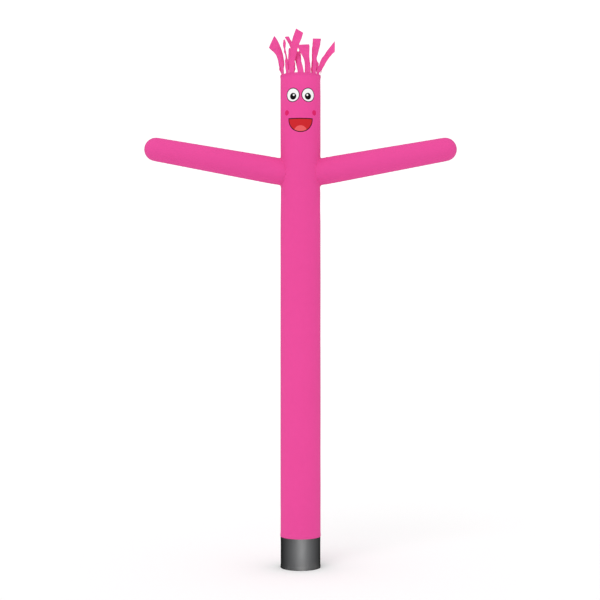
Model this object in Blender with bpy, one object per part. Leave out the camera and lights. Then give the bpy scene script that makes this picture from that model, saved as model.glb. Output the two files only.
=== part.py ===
"""Inflatable air dancer: a tall pink cloth tube, full of air, with two raised arms and streamers
round the open top of its head.

Metres, +Z up. The origin is the middle of the ring that the black collar stands on, and the front
of the figure faces -Y. An angle round the tube is 0 at the front and grows towards +X.
"""

import math
from collections import namedtuple

import bmesh
import bpy
from mathutils import Vector

# Cloth
CLOTH = 0.002  # nylon of the tube, the arms and the streamers
COLLAR_CLOTH = 0.003  # coated cloth of the collar
GAP = 0.0003  # between two pieces that are sewn together
FACET_ROOM = 0.0006  # more at a shoulder, for the flat facets of both meshes
HEM_STEP = 0.001  # how far a turned hem stands out
HEM_EDGE = 0.004  # over which a hem falls back to the single cloth

# Tube
TUBE_RADIUS = 0.2285  # 18 inches across, as the blower's outlet ring
RIM_HEIGHT = 5.575  # open top of the tube, level with the top of the head
TUBE_SIDES = 48
TOP_HEM = 0.026
LAP = 0.026  # hem of the tube that overlaps the collar

# Collar
COLLAR_SHOWS = 0.343  # from the floor to the lower edge of the tube
COLLAR_HEM = 0.032
COLLAR_RADIUS = TUBE_RADIUS - CLOTH - GAP

# Arms
ARM_SLOPE = math.radians(10.2)
SHOULDER_HEIGHT = 4.485  # where an arm's axis meets the side of the tube
ARM_REACH = 1.773  # from the middle of the tube to a fingertip
SHOULDER_RADIUS = 0.1545
WRIST_RADIUS = 0.1342
HAND_FLATTENED = 0.12  # share of its depth that the hand loses, where its two layers meet
SEAM_SMOOTH = 0.035  # width round a shoulder's seam over which the tube's folds run out
ARM_SIDES = 28
ARM_STEPS = 13
ARM_CROWDING = 0.45  # how much closer the rings are at the ends of an arm, where its folds are
HAND_STEPS = 6

# Streamers
BAND_LOW = 0.024  # the strip that joins them reaches this far below the rim
BAND_HIGH = 0.002  # and this far above it
BAND_RADIUS = (TUBE_RADIUS - CLOTH) * math.cos(math.pi / TUBE_SIDES) - GAP  # clear of flat facets
BAND_STEP = math.radians(11)
STREAMER_STEPS = 11

# Soft troughs in the tube: where the middle is, half its run, half its width, its lean from upright
Fold = namedtuple("Fold", "around height run width lean depth")
TUBE_FOLDS = (
    # below and above the left shoulder
    Fold(around=-62, height=4.21, run=0.20, width=0.038, lean=-34, depth=0.0065),
    Fold(around=-86, height=4.14, run=0.17, width=0.034, lean=-6, depth=0.0050),
    Fold(around=-121, height=4.23, run=0.18, width=0.040, lean=31, depth=0.0060),
    Fold(around=-58, height=4.71, run=0.12, width=0.034, lean=38, depth=0.0045),
    Fold(around=-116, height=4.74, run=0.15, width=0.038, lean=-30, depth=0.0055),
    # below and above the right shoulder
    Fold(around=64, height=4.19, run=0.21, width=0.036, lean=30, depth=0.0060),
    Fold(around=91, height=4.12, run=0.15, width=0.036, lean=4, depth=0.0050),
    Fold(around=117, height=4.22, run=0.17, width=0.038, lean=-35, depth=0.0065),
    Fold(around=60, height=4.73, run=0.13, width=0.036, lean=-36, depth=0.0045),
    Fold(around=120, height=4.72, run=0.14, width=0.036, lean=33, depth=0.0050),
    # gathered above the collar
    Fold(around=-22, height=0.47, run=0.11, width=0.034, lean=5, depth=0.0045),
    Fold(around=35, height=0.50, run=0.14, width=0.036, lean=-4, depth=0.0050),
    Fold(around=98, height=0.46, run=0.10, width=0.034, lean=3, depth=0.0040),
    Fold(around=158, height=0.49, run=0.12, width=0.038, lean=-6, depth=0.0045),
    Fold(around=-97, height=0.51, run=0.13, width=0.036, lean=4, depth=0.0050),
    # gathered below the rim, at the sides and the back of the head
    Fold(around=-78, height=5.49, run=0.07, width=0.034, lean=4, depth=0.0040),
    Fold(around=84, height=5.48, run=0.08, width=0.034, lean=-5, depth=0.0040),
    Fold(around=148, height=5.47, run=0.09, width=0.036, lean=6, depth=0.0045),
    Fold(around=-146, height=5.48, run=0.08, width=0.036, lean=-3, depth=0.0045),
)

# Levels of the tube's mesh, closer together where the folds are
Zone = namedtuple("Zone", "low high step")
TUBE_ZONES = (
    Zone(low=0.40, high=0.68, step=0.07),
    Zone(low=1.20, high=3.40, step=0.70),
    Zone(low=3.90, high=4.90, step=0.0667),
    Zone(low=5.20, high=5.30, step=0.10),
    Zone(low=5.40, high=5.53, step=0.06),
)

# Soft troughs in both arms: along from the shoulder, round from the upper side towards the front
ArmFold = namedtuple("ArmFold", "along around run width lean depth")
ARM_FOLDS = (
    ArmFold(along=0.13, around=-18, run=0.14, width=0.036, lean=-15, depth=0.0055),
    ArmFold(along=0.14, around=84, run=0.13, width=0.038, lean=20, depth=0.0055),
    ArmFold(along=0.12, around=160, run=0.15, width=0.036, lean=-18, depth=0.0060),
    ArmFold(along=1.37, around=70, run=0.11, width=0.032, lean=-8, depth=0.0045),
    ArmFold(along=1.40, around=-38, run=0.09, width=0.034, lean=9, depth=0.0045),
    ArmFold(along=1.39, around=-125, run=0.10, width=0.032, lean=-7, depth=0.0045),
)

# Streamers, in order round the rim: how far the tip is from the root along X, Y and Z, how late
# the strip bends, its width at the root and the tip, where along it the widening starts, how far
# it turns about its own length, and the slant of its cut end.
Streamer = namedtuple("Streamer", "rim x y rise bend root tip flare turn cut")
STREAMERS = [
    Streamer(*row)
    for row in (
        # rim, x, y, rise, bend, root, tip, flare, turn, cut
        (-157, 0.026, 0.040, 0.400, 1.20, 0.056, 0.060, 0.40, 16, 12),
        (-137, 0.052, 0.115, 0.330, 1.30, 0.054, 0.060, 0.40, -30, -10),
        (-114, -0.080, 0.050, 0.340, 2.40, 0.056, 0.084, 0.50, -50, 14),
        (-69, -0.114, -0.030, 0.370, 2.70, 0.064, 0.126, 0.35, 69, 31),
        (-45, -0.034, -0.050, 0.372, 1.50, 0.052, 0.054, 0.40, -26, 10),
        (-27, 0.094, -0.060, 0.458, 2.00, 0.064, 0.100, 0.05, 25, -16),
        (2, -0.156, 0.150, 0.418, 1.12, 0.060, 0.060, 0.40, 57, -24),
        (23, -0.040, -0.075, 0.300, 1.80, 0.062, 0.122, 0.42, -23, -7),
        (44, 0.027, -0.040, 0.380, 1.60, 0.060, 0.094, 0.38, -44, 6),
        (66, 0.180, -0.030, 0.318, 1.45, 0.062, 0.078, 0.10, -60, -42),
        (91, 0.085, 0.030, 0.262, 1.45, 0.056, 0.062, 0.40, -20, -20),
        (115, -0.028, 0.070, 0.290, 0.90, 0.056, 0.062, 0.40, -32, 20),
        (139, 0.010, 0.085, 0.365, 1.50, 0.056, 0.060, 0.40, 38, -8),
        (162, 0.010, 0.080, 0.270, 1.60, 0.056, 0.062, 0.40, 14, 6),
        (-177, -0.045, 0.085, 0.300, 1.40, 0.056, 0.064, 0.40, -8, 8),
    )
]
TURNED_BY = 0.65  # share of its length at which a streamer has made its whole turn


def smooth(zero_at, one_at, value):
    """0 up to one value, 1 from another, and an even S between them, in either direction."""
    share = min(max((value - zero_at) / (one_at - zero_at), 0.0), 1.0)
    return share * share * (3 - 2 * share)


def trough(along, across, fold):
    """Depth of one fold at a place along and across its middle."""
    lean = math.radians(fold.lean)
    down_it = along * math.cos(lean) + across * math.sin(lean)
    off_it = across * math.cos(lean) - along * math.sin(lean)
    return fold.depth * math.exp(-((down_it / fold.run) ** 2) - (off_it / fold.width) ** 2)


def turned_from(angle, degrees):
    """The shorter way round from an angle in degrees to one in radians."""
    return math.remainder(angle - math.radians(degrees), math.tau)


def from_shoulder(angle, height):
    """Distance from the nearer shoulder's seam to a place on the tube, less than 0 inside it."""
    place = on_tube(TUBE_RADIUS, angle, height)
    start, out, _ = arm_axes("left" if place.x < 0 else "right")
    offset = place - start
    return (offset - out * offset.dot(out)).length - SHOULDER_RADIUS


def tube_radius(angle, height):
    """Outer radius of the tube, with its folds and hems."""
    low = COLLAR_SHOWS + LAP
    high = RIM_HEIGHT - TOP_HEM
    hem = smooth(low + HEM_EDGE, low, height) + smooth(high - HEM_EDGE, high, height)
    sunk = sum(
        trough(height - fold.height, TUBE_RADIUS * turned_from(angle, fold.around), fold)
        for fold in TUBE_FOLDS
    )
    free = smooth(0, 0.05, height - low) * smooth(HEM_EDGE, 0.035, high - height)
    free *= smooth(0, SEAM_SMOOTH, from_shoulder(angle, height))
    return TUBE_RADIUS + HEM_STEP * hem - sunk * free


def on_tube(radius, angle, height):
    return Vector((radius * math.sin(angle), -radius * math.cos(angle), height))


def evenly(low, high, step):
    """Values from low to high, both included, about a step apart."""
    count = max(1, round((high - low) / step))
    return [low + (high - low) * i / count for i in range(count + 1)]


def material(name, colour, roughness):
    made = bpy.data.materials.new(name)
    made.use_nodes = True
    shader = made.node_tree.nodes["Principled BSDF"]
    shader.inputs["Base Color"].default_value = (*colour, 1.0)
    shader.inputs["Roughness"].default_value = roughness
    shader.inputs["Metallic"].default_value = 0.0
    return made


def add_object(name, bm, finish):
    """Turns a bmesh into one named object, smooth but for its sharp edges."""
    bmesh.ops.recalc_face_normals(bm, faces=bm.faces)
    mesh = bpy.data.meshes.new(name)
    bm.to_mesh(mesh)
    bm.free()
    mesh.shade_smooth()
    mesh.set_sharp_from_angle(angle=math.radians(40))
    mesh.materials.append(finish)
    made = bpy.data.objects.new(name, mesh)
    bpy.context.scene.collection.objects.link(made)
    return made


def bridge(bm, ring, following):
    """Faces between two rings of as many points."""
    for i in range(len(ring)):
        j = (i + 1) % len(ring)
        bm.faces.new((ring[i], ring[j], following[j], following[i]))


def cloth_tube(outer, inner):
    """A tube of cloth from the rings of its two sides, closed at both edges."""
    bm = bmesh.new()
    rings = [[bm.verts.new(point) for point in ring] for ring in (*outer, *reversed(inner))]
    for ring, following in zip(rings, rings[1:] + rings[:1]):
        bridge(bm, ring, following)
    return bm


def tube_levels():
    """Heights of the rings: the two hems, and the zones between them."""
    low = COLLAR_SHOWS + LAP
    high = RIM_HEIGHT - TOP_HEM
    levels = [COLLAR_SHOWS, low, low + HEM_EDGE]
    for zone in TUBE_ZONES:
        levels += evenly(zone.low, zone.high, zone.step)
    return levels + [high - HEM_EDGE, high, RIM_HEIGHT]


def tube_angles():
    return [math.tau * i / TUBE_SIDES for i in range(TUBE_SIDES)]


def body_tube(finish):
    """The long sleeve of the body and the head, open at both ends, with a hole for each arm."""
    outer = [[on_tube(tube_radius(a, z), a, z) for a in tube_angles()] for z in tube_levels()]
    # A turned hem is double cloth, so only the outer side steps out.
    inner = [
        [on_tube(min(tube_radius(a, z), TUBE_RADIUS) - CLOTH, a, z) for a in tube_angles()]
        for z in tube_levels()
    ]
    body = add_object("body_tube", cloth_tube(outer, inner), finish)
    for side in ("left", "right"):
        cut = body.modifiers.new("armhole_" + side, "BOOLEAN")
        cut.operation = "DIFFERENCE"
        cut.solver = "EXACT"
        cut.object = armhole(side)
    return body


def collar(finish):
    """The black sleeve that slips over the blower, with a turned hem that it stands on."""
    levels = [0.0, COLLAR_HEM, COLLAR_HEM + HEM_EDGE] + evenly(0.12, COLLAR_SHOWS + LAP, 0.083)
    outer = []
    for z in levels:
        radius = COLLAR_RADIUS + HEM_STEP * smooth(COLLAR_HEM + HEM_EDGE, COLLAR_HEM, z)
        outer.append([on_tube(radius, a, z) for a in tube_angles()])
    inner = [[on_tube(COLLAR_RADIUS - COLLAR_CLOTH, a, z) for a in tube_angles()] for z in levels]
    return add_object("base_collar", cloth_tube(outer, inner), finish)


def arm_axes(side):
    """Where the arm's axis meets the tube, its direction outwards, and its own upper side."""
    sign = -1 if side == "left" else 1
    start = Vector((sign * TUBE_RADIUS, 0, SHOULDER_HEIGHT))
    out = Vector((sign * math.cos(ARM_SLOPE), 0, math.sin(ARM_SLOPE)))
    up = Vector((-sign * math.sin(ARM_SLOPE), 0, math.cos(ARM_SLOPE)))
    return start, out, up


def arm_length():
    """Along the axis, from the side of the tube to the fingertip."""
    return (ARM_REACH - TUBE_RADIUS) / math.cos(ARM_SLOPE)


def arm_radius(along):
    """Radius of the straight part, which tapers from the shoulder to the wrist."""
    straight = arm_length() - WRIST_RADIUS
    return SHOULDER_RADIUS + (WRIST_RADIUS - SHOULDER_RADIUS) * along / straight


def arm_point(side, along, around, inward=0.0):
    """A point of the arm's surface, or of its inner side. The hand is round seen from the front,
    and a little flat seen from above."""
    start, out, up = arm_axes(side)
    straight = arm_length() - WRIST_RADIUS
    radius = arm_radius(min(along, straight)) - inward
    depth = 1.0
    if along > straight:
        share = min((along - straight) / (WRIST_RADIUS - inward), 1.0)
        radius *= math.sqrt(1 - share * share)
        depth -= HAND_FLATTENED * share * share
    sunk = sum(
        trough(along - fold.along, radius * turned_from(around, fold.around), fold)
        for fold in ARM_FOLDS
    )
    sunk *= min(1.0, radius / WRIST_RADIUS)
    front = Vector((0, -1, 0))
    spoke = up * math.cos(around) + front * (math.sin(around) * depth)
    return start + out * along + spoke * (radius - sunk)


def shoulder_edge(side, around, inward):
    """How far along the arm its cloth meets the outside of the tube, at one angle round it."""
    along = 0.0
    for _ in range(12):
        point = arm_point(side, along, around, inward)
        angle = math.atan2(point.x, -point.y)
        short = tube_radius(angle, point.z) + GAP + FACET_ROOM - math.hypot(point.x, point.y)
        along += short / max(abs(math.sin(angle)), 0.5)
    return along


def arm_ring(side, share, inward):
    """The ring at a share of the way from the shoulder's edge to the wrist."""
    straight = arm_length() - WRIST_RADIUS
    ring = []
    for i in range(ARM_SIDES):
        around = math.tau * i / ARM_SIDES
        edge = shoulder_edge(side, around, inward)
        ring.append(arm_point(side, edge + (straight - edge) * share, around, inward))
    return ring


def arm_sides(side, inward):
    """Rings of the outer or the inner side of an arm, from the shoulder to the last before the tip."""
    rings = [arm_ring(side, share, inward) for share in arm_shares()]
    straight = arm_length() - WRIST_RADIUS
    for i in range(1, HAND_STEPS):
        along = straight + (WRIST_RADIUS - inward) * math.sin(math.pi / 2 * i / HAND_STEPS)
        rings.append(
            [
                arm_point(side, along, math.tau * j / ARM_SIDES, inward)
                for j in range(ARM_SIDES)
            ]
        )
    return rings


def arm_shares():
    """Shares of the straight part where a ring lies, closer together at the shoulder and wrist."""
    shares = evenly(0.0, 1.0, 1.0 / ARM_STEPS)
    return [share - ARM_CROWDING * math.sin(math.tau * share) / math.tau for share in shares]


def arm(side, finish):
    """An arm: one cloth with a round, closed hand, open to the tube at the shoulder."""
    bm = bmesh.new()
    start, out, _ = arm_axes(side)
    edges = []
    for inward in (0.0, CLOTH):
        rings = [[bm.verts.new(p) for p in ring] for ring in arm_sides(side, inward)]
        for ring, following in zip(rings, rings[1:]):
            bridge(bm, ring, following)
        tip = bm.verts.new(start + out * (arm_length() - inward))
        for i in range(ARM_SIDES):
            bm.faces.new((rings[-1][i], rings[-1][(i + 1) % ARM_SIDES], tip))
        edges.append(rings[0])
    bridge(bm, edges[0], edges[1])
    return add_object("arm_" + side, bm, finish)


def armhole(side):
    """The cutter for one armhole: a plug as wide as the arm's inner side."""
    start, out, up = arm_axes(side)
    front = Vector((0, -1, 0))
    bm = bmesh.new()
    rings = []
    for along in (-0.16, 0.10):
        radius = arm_radius(max(along, 0.0)) - CLOTH
        ring = []
        for i in range(ARM_SIDES):
            around = math.tau * i / ARM_SIDES
            spoke = up * math.cos(around) + front * math.sin(around)
            ring.append(bm.verts.new(start + out * along + spoke * radius))
        rings.append(ring)
    bridge(bm, rings[0], rings[1])
    for ring in rings:
        bm.faces.new(ring)
    bmesh.ops.recalc_face_normals(bm, faces=bm.faces)
    mesh = bpy.data.meshes.new("armhole_" + side)
    bm.to_mesh(mesh)
    bm.free()
    cutter = bpy.data.objects.new("armhole_" + side, mesh)
    cutter.hide_render = True
    cutter.display_type = "WIRE"
    bpy.context.scene.collection.objects.link(cutter)
    return cutter


def streamer_spot(row, share):
    """Middle of a streamer at a share of its length."""
    root = on_tube(BAND_RADIUS - CLOTH / 2, math.radians(row.rim), RIM_HEIGHT + BAND_HIGH)
    lean = share**row.bend
    return root + Vector((row.x * lean, row.y * lean, row.rise * share))


def streamer_ring(row, share):
    """The four corners of a streamer there, in the order of its root in the band."""
    step = 0.01
    ahead = streamer_spot(row, min(share + step, 1.0)) - streamer_spot(row, share - step)
    ahead.normalize()
    azimuth = math.radians(row.rim + row.turn * smooth(0.0, TURNED_BY, share))
    across = Vector((math.cos(azimuth), math.sin(azimuth), 0))
    across = (across - ahead * across.dot(ahead)).normalized()
    # Round the rim, outwards is to the right of the way that the angle grows.
    outwards = across.cross(ahead)
    width = row.root + (row.tip - row.root) * smooth(row.flare, 1.0, share)
    slant = math.tan(math.radians(row.cut)) * smooth(0.7, 1.0, share)
    middle = streamer_spot(row, share)
    corners = []
    for side, out in ((-1, 1), (1, 1), (1, -1), (-1, -1)):
        along = across * (side * width / 2) + ahead * (side * width / 2 * slant)
        corners.append(middle + along + outwards * (out * CLOTH / 2))
    return corners


def band_angles():
    """Corners of the band: both edges of each streamer, and steps between streamers. Each comes
    with the streamer that starts there, or None."""
    corners = []
    for i, row in enumerate(STREAMERS):
        half = row.root / 2 / BAND_RADIUS
        left = math.radians(row.rim) - half
        right = math.radians(row.rim) + half
        after = STREAMERS[(i + 1) % len(STREAMERS)]
        following = math.radians(after.rim) - after.root / 2 / BAND_RADIUS
        free = (following - right) % math.tau
        steps = math.ceil(free / BAND_STEP)
        corners.append((left, row))
        corners += [(right + free * j / steps, None) for j in range(steps)]
    return corners


def streamer_band(finish):
    """The streamers and the strip that joins their roots, sewn inside the rim of the head."""
    bm = bmesh.new()
    corners = band_angles()
    low, high = RIM_HEIGHT - BAND_LOW, RIM_HEIGHT + BAND_HIGH
    loops = []
    for radius, height in (
        (BAND_RADIUS, low),
        (BAND_RADIUS, high),
        (BAND_RADIUS - CLOTH, high),
        (BAND_RADIUS - CLOTH, low),
    ):
        loops.append([bm.verts.new(on_tube(radius, angle, height)) for angle, _ in corners])
    low_out, high_out, high_in, low_in = loops
    for i, (_, row) in enumerate(corners):
        j = (i + 1) % len(corners)
        bm.faces.new((low_out[i], low_out[j], high_out[j], high_out[i]))
        bm.faces.new((high_in[i], high_in[j], low_in[j], low_in[i]))
        bm.faces.new((low_in[i], low_in[j], low_out[j], low_out[i]))
        if row is None:
            bm.faces.new((high_out[i], high_out[j], high_in[j], high_in[i]))
            continue
        ring = [high_out[i], high_out[j], high_in[j], high_in[i]]
        for step in range(1, STREAMER_STEPS + 1):
            points = streamer_ring(row, step / STREAMER_STEPS)
            following = [bm.verts.new(point) for point in points]
            bridge(bm, ring, following)
            ring = following
        bm.faces.new(ring)
    return add_object("streamer_band", bm, finish)


def main():
    for old in list(bpy.data.objects):
        bpy.data.objects.remove(old)
    pink = material("pink_nylon", (0.84, 0.08, 0.35), 0.55)
    black = material("black_coated_cloth", (0.02, 0.02, 0.021), 0.45)
    body_tube(pink)
    collar(black)
    arm("left", pink)
    arm("right", pink)
    streamer_band(pink)


main()
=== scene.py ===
"""Inflatable air dancer: a tall pink sleeve of thin nylon, blown full of air, with two raised arms,
streamers round the open top of its head, and a black collar that slips over the blower's outlet.

Metres, +Z up. The figure faces -Y. An angle round the tube is 0 at the front and grows towards
+X. Each cloth's own map holds its flat cut, in metres.
"""

import math

import bpy
import numpy as np
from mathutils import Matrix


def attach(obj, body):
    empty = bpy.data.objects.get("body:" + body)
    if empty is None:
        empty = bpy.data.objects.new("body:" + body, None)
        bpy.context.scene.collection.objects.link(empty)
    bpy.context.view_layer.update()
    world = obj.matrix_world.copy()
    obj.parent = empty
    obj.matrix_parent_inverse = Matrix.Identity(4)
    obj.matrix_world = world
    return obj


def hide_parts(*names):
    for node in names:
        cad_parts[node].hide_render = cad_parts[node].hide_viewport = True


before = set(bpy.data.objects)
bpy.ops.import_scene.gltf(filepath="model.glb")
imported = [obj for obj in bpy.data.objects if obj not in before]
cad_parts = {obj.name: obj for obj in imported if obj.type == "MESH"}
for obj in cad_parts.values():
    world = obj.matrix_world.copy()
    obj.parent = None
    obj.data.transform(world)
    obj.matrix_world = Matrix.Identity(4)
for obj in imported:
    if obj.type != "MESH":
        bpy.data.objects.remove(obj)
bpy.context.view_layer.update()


# ---- Studio ------------------------------------------------------------------------------------
# A level camera far back, at half the figure's height. A plain pale floor runs out of sight under
# an even white sky, with one soft light from the upper left.

CAMERA_PLACE = (-0.006, -14.8, 3.03)
SENSOR = 36  # its width, in millimetres
SEEN_HEIGHT = 6.81  # what the camera takes in at the figure
SKY = 0.93  # how bright the sky is as light
SHINE = 0.15  # how bright it is in reflections
BEHIND = 1.1  # and behind the figure
SUN = 0.55
SUN_TURN = (math.radians(38), 0, math.radians(-24))  # from straight overhead
SUN_WIDTH = math.radians(30)  # wide, so that its shadows are soft
FLOOR_RADIUS = 70


class Shade:
    """An output of one shader node. Python's operators on it add Math nodes, and node() adds any
    other node."""

    def __init__(self, tree, socket=None):
        self.tree = tree
        self.socket = socket

    def node(self, kind, settings=None, inputs=None):
        """A node: its settings first, then the values or links of its sockets."""
        made = self.tree.nodes.new("ShaderNode" + kind)
        for name, value in (settings or {}).items():
            setattr(made, name, value)
        for name, value in (inputs or {}).items():
            if isinstance(value, Shade):
                self.tree.links.new(value.socket, made.inputs[name])
            else:
                made.inputs[name].default_value = value
        return Shade(self.tree, made.outputs[0] if made.outputs else None)

    def out(self, name):
        """Another output of the same node."""
        return Shade(self.tree, self.socket.node.outputs[name])

    def maths(self, operation, *others):
        return self.node("Math", {"operation": operation}, dict(enumerate((self, *others))))

    def __add__(self, other):
        return self.maths("ADD", other)

    def __mul__(self, other):
        return self.maths("MULTIPLY", other)

    def __truediv__(self, other):
        return self.maths("DIVIDE", other)

    def __sub__(self, other):
        return self.maths("SUBTRACT", other)

    def __rsub__(self, other):
        return self * -1 + other

    def __abs__(self):
        return self.maths("ABSOLUTE")

    __radd__ = __add__
    __rmul__ = __mul__


def start_of(owner):
    """The start of the empty nodes of a material or a world."""
    owner.use_nodes = True
    owner.node_tree.nodes.clear()
    return Shade(owner.node_tree)


bpy.ops.object.select_all(action="DESELECT")
bpy.ops.object.camera_add(location=CAMERA_PLACE, rotation=(math.pi / 2, 0, 0))
camera = bpy.context.object
camera.name = "camera"
camera.data.sensor_width = SENSOR
camera.data.lens = SENSOR * -CAMERA_PLACE[1] / SEEN_HEIGHT
camera.data.clip_end = 3 * FLOOR_RADIUS
bpy.context.scene.camera = camera
bpy.context.scene.view_settings.view_transform = "Standard"

sky = bpy.data.worlds.new("sky")
bpy.context.scene.world = sky
start = start_of(sky)
seen = start.node("LightPath")
strength = seen * (BEHIND - SKY) + seen.out("Is Glossy Ray") * (SHINE - SKY) + SKY
glow = start.node("Background", {}, {"Color": (1, 1, 1, 1), "Strength": strength})
start.node("OutputWorld", {}, {"Surface": glow})

bpy.ops.object.light_add(type="SUN", rotation=SUN_TURN)
sun = bpy.context.object
sun.name = "soft_sun"
sun.data.energy = SUN
sun.data.angle = SUN_WIDTH

bpy.ops.mesh.primitive_circle_add(vertices=96, radius=FLOOR_RADIUS, fill_type="NGON")
floor = bpy.context.object
floor.name = "floor"
pale = bpy.data.materials.new("pale_floor")
start = start_of(pale)
paint = start.node(
    "BsdfPrincipled",
    {},
    {"Base Color": (0.96, 0.96, 0.96, 1), "Roughness": 0.9, "Specular IOR Level": 0.0},
)
start.node("OutputMaterial", {}, {"Surface": paint})
floor.data.materials.append(pale)
floor.visible_glossy = False  # so that the white floor doesn't shine in the black cloth


# ---- Black collar ------------------------------------------------------------------------------
# A sleeve of heavier nylon with a black coating, which the blower's outlet goes into. One panel,
# closed by a seam at the back, with a deep hem turned up inside. The tube laps over its top.

TUBE_RADIUS = 0.2285
COLLAR_RADIUS = 0.2262
COLLAR_HEM = 0.032
COLLAR_HEM_IN = -0.0012  # the two layers of the hem, from the cloth's middle
COLLAR_HEM_OUT = 0.0010
COLLAR_TOP = 0.369
COLLAR_SHOWS = 0.353  # up to the lower edge of the tube
LAP = 0.026  # hem of the tube, most of it over the collar
COLLAR_SEAM = 0.012  # width of the lapped seam at the back
COLLAR_SEAM_RAISED = 0.0006
SEAM_EDGE_IN = 0.0008  # a raised seam rounds off from here inside its edge
SEAM_EDGE_OUT = 0.0005  # to here outside it
COLLAR_PITCH = 0.0075  # between the columns and the rows of its mesh
COLLAR_SLACK = 0.0008  # how far in the cloth between lap and hem hangs, on the whole
# Puckers: their mean depth, how far off the seam they are deepest, how long one is, and their draw
COLLAR_LAP_PUCKERS = (0.00055, 0.016, 0.05, 5)
COLLAR_HEM_PUCKERS = (0.00045, 0.014, 0.04, 8)
COLLAR_WEAVE = 0.0022  # two threads of its cloth
COATING = (0.0108, 0.0110, 0.0114, 1)
DUST = (0.050, 0.048, 0.045, 1)
SCUFFED = (0.07, 0.068, 0.066, 1)


def smooth(zero_at, one_at, value):
    """0 up to one value, 1 from another, and an even S between them, in either direction."""
    share = np.clip((value - zero_at) / (one_at - zero_at), 0, 1)
    return share * share * (3 - 2 * share)


def points_of(mesh):
    points = np.empty(len(mesh.vertices) * 3)
    mesh.vertices.foreach_get("co", points)
    return points.reshape(-1, 3)


def panel_places(width, beside, pitch):
    """Places across a panel of cloth, the first few of them given, beside its seams."""
    middle = np.linspace(beside[-1], width - beside[-1], round(width / pitch))
    return np.concatenate((beside[:-1], middle, width - np.array(beside[-2::-1])))


def flat_cloth(name, across, along):
    """A flat grid of cloth with its columns and rows at the given places of its cut. It comes with
    the column and the row of each point."""
    bpy.ops.object.select_all(action="DESELECT")
    bpy.ops.mesh.primitive_grid_add(
        x_subdivisions=len(across) - 1, y_subdivisions=len(along) - 1, size=2
    )
    cloth = bpy.context.object
    cloth.name = cloth.data.name = name
    spots = (points_of(cloth.data) + 1) / 2
    column = np.rint(spots[:, 0] * (len(across) - 1)).astype(int)
    row = np.rint(spots[:, 1] * (len(along) - 1)).astype(int)
    corner = np.empty(len(cloth.data.loops), int)
    cloth.data.loops.foreach_get("vertex_index", corner)
    cut = np.column_stack((across[column[corner]], along[row[corner]]))
    cloth.data.uv_layers[0].name = "cut"
    cloth.data.uv_layers[0].data.foreach_set("uv", cut.ravel())
    return cloth, column, row


def blow_up(cloth, points):
    """Moves a cloth's points to where they go, sews its edges where they meet, and turns its
    faces out."""
    cloth.data.vertices.foreach_set("co", points.ravel())
    bpy.context.view_layer.objects.active = cloth
    bpy.ops.object.mode_set(mode="EDIT")
    bpy.ops.mesh.select_all(action="SELECT")
    bpy.ops.mesh.remove_doubles(threshold=0.00002)
    bpy.ops.mesh.normals_make_consistent(inside=False)
    bpy.ops.object.mode_set(mode="OBJECT")
    bpy.ops.object.shade_smooth()


def turned_hem(fold, edge, inner, outer):
    """Rows of a hem, as height and place outwards: from the raw edge along the inner side to the
    fold, round it, and along the outer side."""
    way = math.copysign(1, edge - fold)
    half = (outer - inner) / 2
    rows = [(fold + (edge - fold) * share, inner) for share in (1, 0.8, 0.5, 0.2)]
    for turn in np.radians((-75, -40, 0, 40, 75)):
        rows.append(
            (fold + way * half * (1 - math.cos(turn)), (inner + outer) / 2 + half * math.sin(turn))
        )
    return rows + [(fold + (edge - fold) * share, outer) for share in (0.2, 0.5, 0.8, 1)]


def lengths(rows):
    """How far each row is from the first, along the cloth."""
    steps = np.hypot(*np.diff(np.array(rows), axis=0).T)
    return np.concatenate(([0], np.cumsum(steps)))


def puckers(at, whole, length, seed):
    """Small uneven waves, from -1 to 1, along a closed seam of a whole length."""
    draw = np.random.default_rng(seed)
    waves = 0
    for share, weight in ((0.45, 0.7), (0.8, 0.9), (1.0, 1.0), (1.35, 0.7), (1.9, 0.4)):
        count = max(1, round(whole / length * share))
        waves = waves + weight * np.sin(math.tau * count * at / whole + draw.uniform(0, math.tau))
    return waves / 2.6


def beside_seam(distance, reach):
    """Nothing on a seam, most at a reach from it, and nothing again further off."""
    far = np.maximum(distance, 0) / reach
    return far * np.exp(1 - far)


def drawn_in(off, at, whole, kind):
    """How deep a seam's puckers draw the cloth in, at places off the seam and along it."""
    depth, reach, length, seed = kind
    return depth * beside_seam(off, reach) * (1 + puckers(at, whole, length, seed))


def raised_seam(width, off):
    """1 on a lapped seam and 0 beside it, at places off its middle."""
    return smooth(width / 2 + SEAM_EDGE_OUT, width / 2 - SEAM_EDGE_IN, off)


def on_tube(radius, angle, height):
    return np.stack((radius * np.sin(angle), -radius * np.cos(angle), height), axis=-1)


def noise_over(start, place, scale, detail, stretch=(1, 1, 1)):
    """Even noise of about a scale to the metre, drawn out along the axes with a small stretch."""
    if stretch != (1, 1, 1):
        place = start.node("VectorMath", {"operation": "MULTIPLY"}, {0: place, 1: stretch})
    return start.node("TexNoise", {}, {"Vector": place, "Scale": scale, "Detail": detail})


def blend_over(start, value, low, high):
    """0 at the low value, 1 at the high, smooth between."""
    return start.node(
        "MapRange",
        {"interpolation_type": "SMOOTHSTEP"},
        {"Value": value, "From Min": low, "From Max": high},
    )


def colours(start, share, one, other):
    """One colour where the share is 0, and the other where it is 1."""
    mixed = start.node("Mix", {"data_type": "RGBA"}, {0: share, 6: one, 7: other})
    return mixed.out(2)


def woven_lines(start, place, pitch, width):
    """1 on thin lines that are a pitch apart, 0 between them."""
    off = abs((place / pitch).maths("FRACT") - 0.5) * pitch
    return blend_over(start, off, width, width * 0.3)


def woven(across, along, pitch):
    """Waves of a plain weave, whose threads lie half a pitch apart both ways."""
    return (across * (math.tau / pitch)).maths("SINE") * (
        along * (math.tau / pitch)
    ).maths("SINE")


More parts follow.
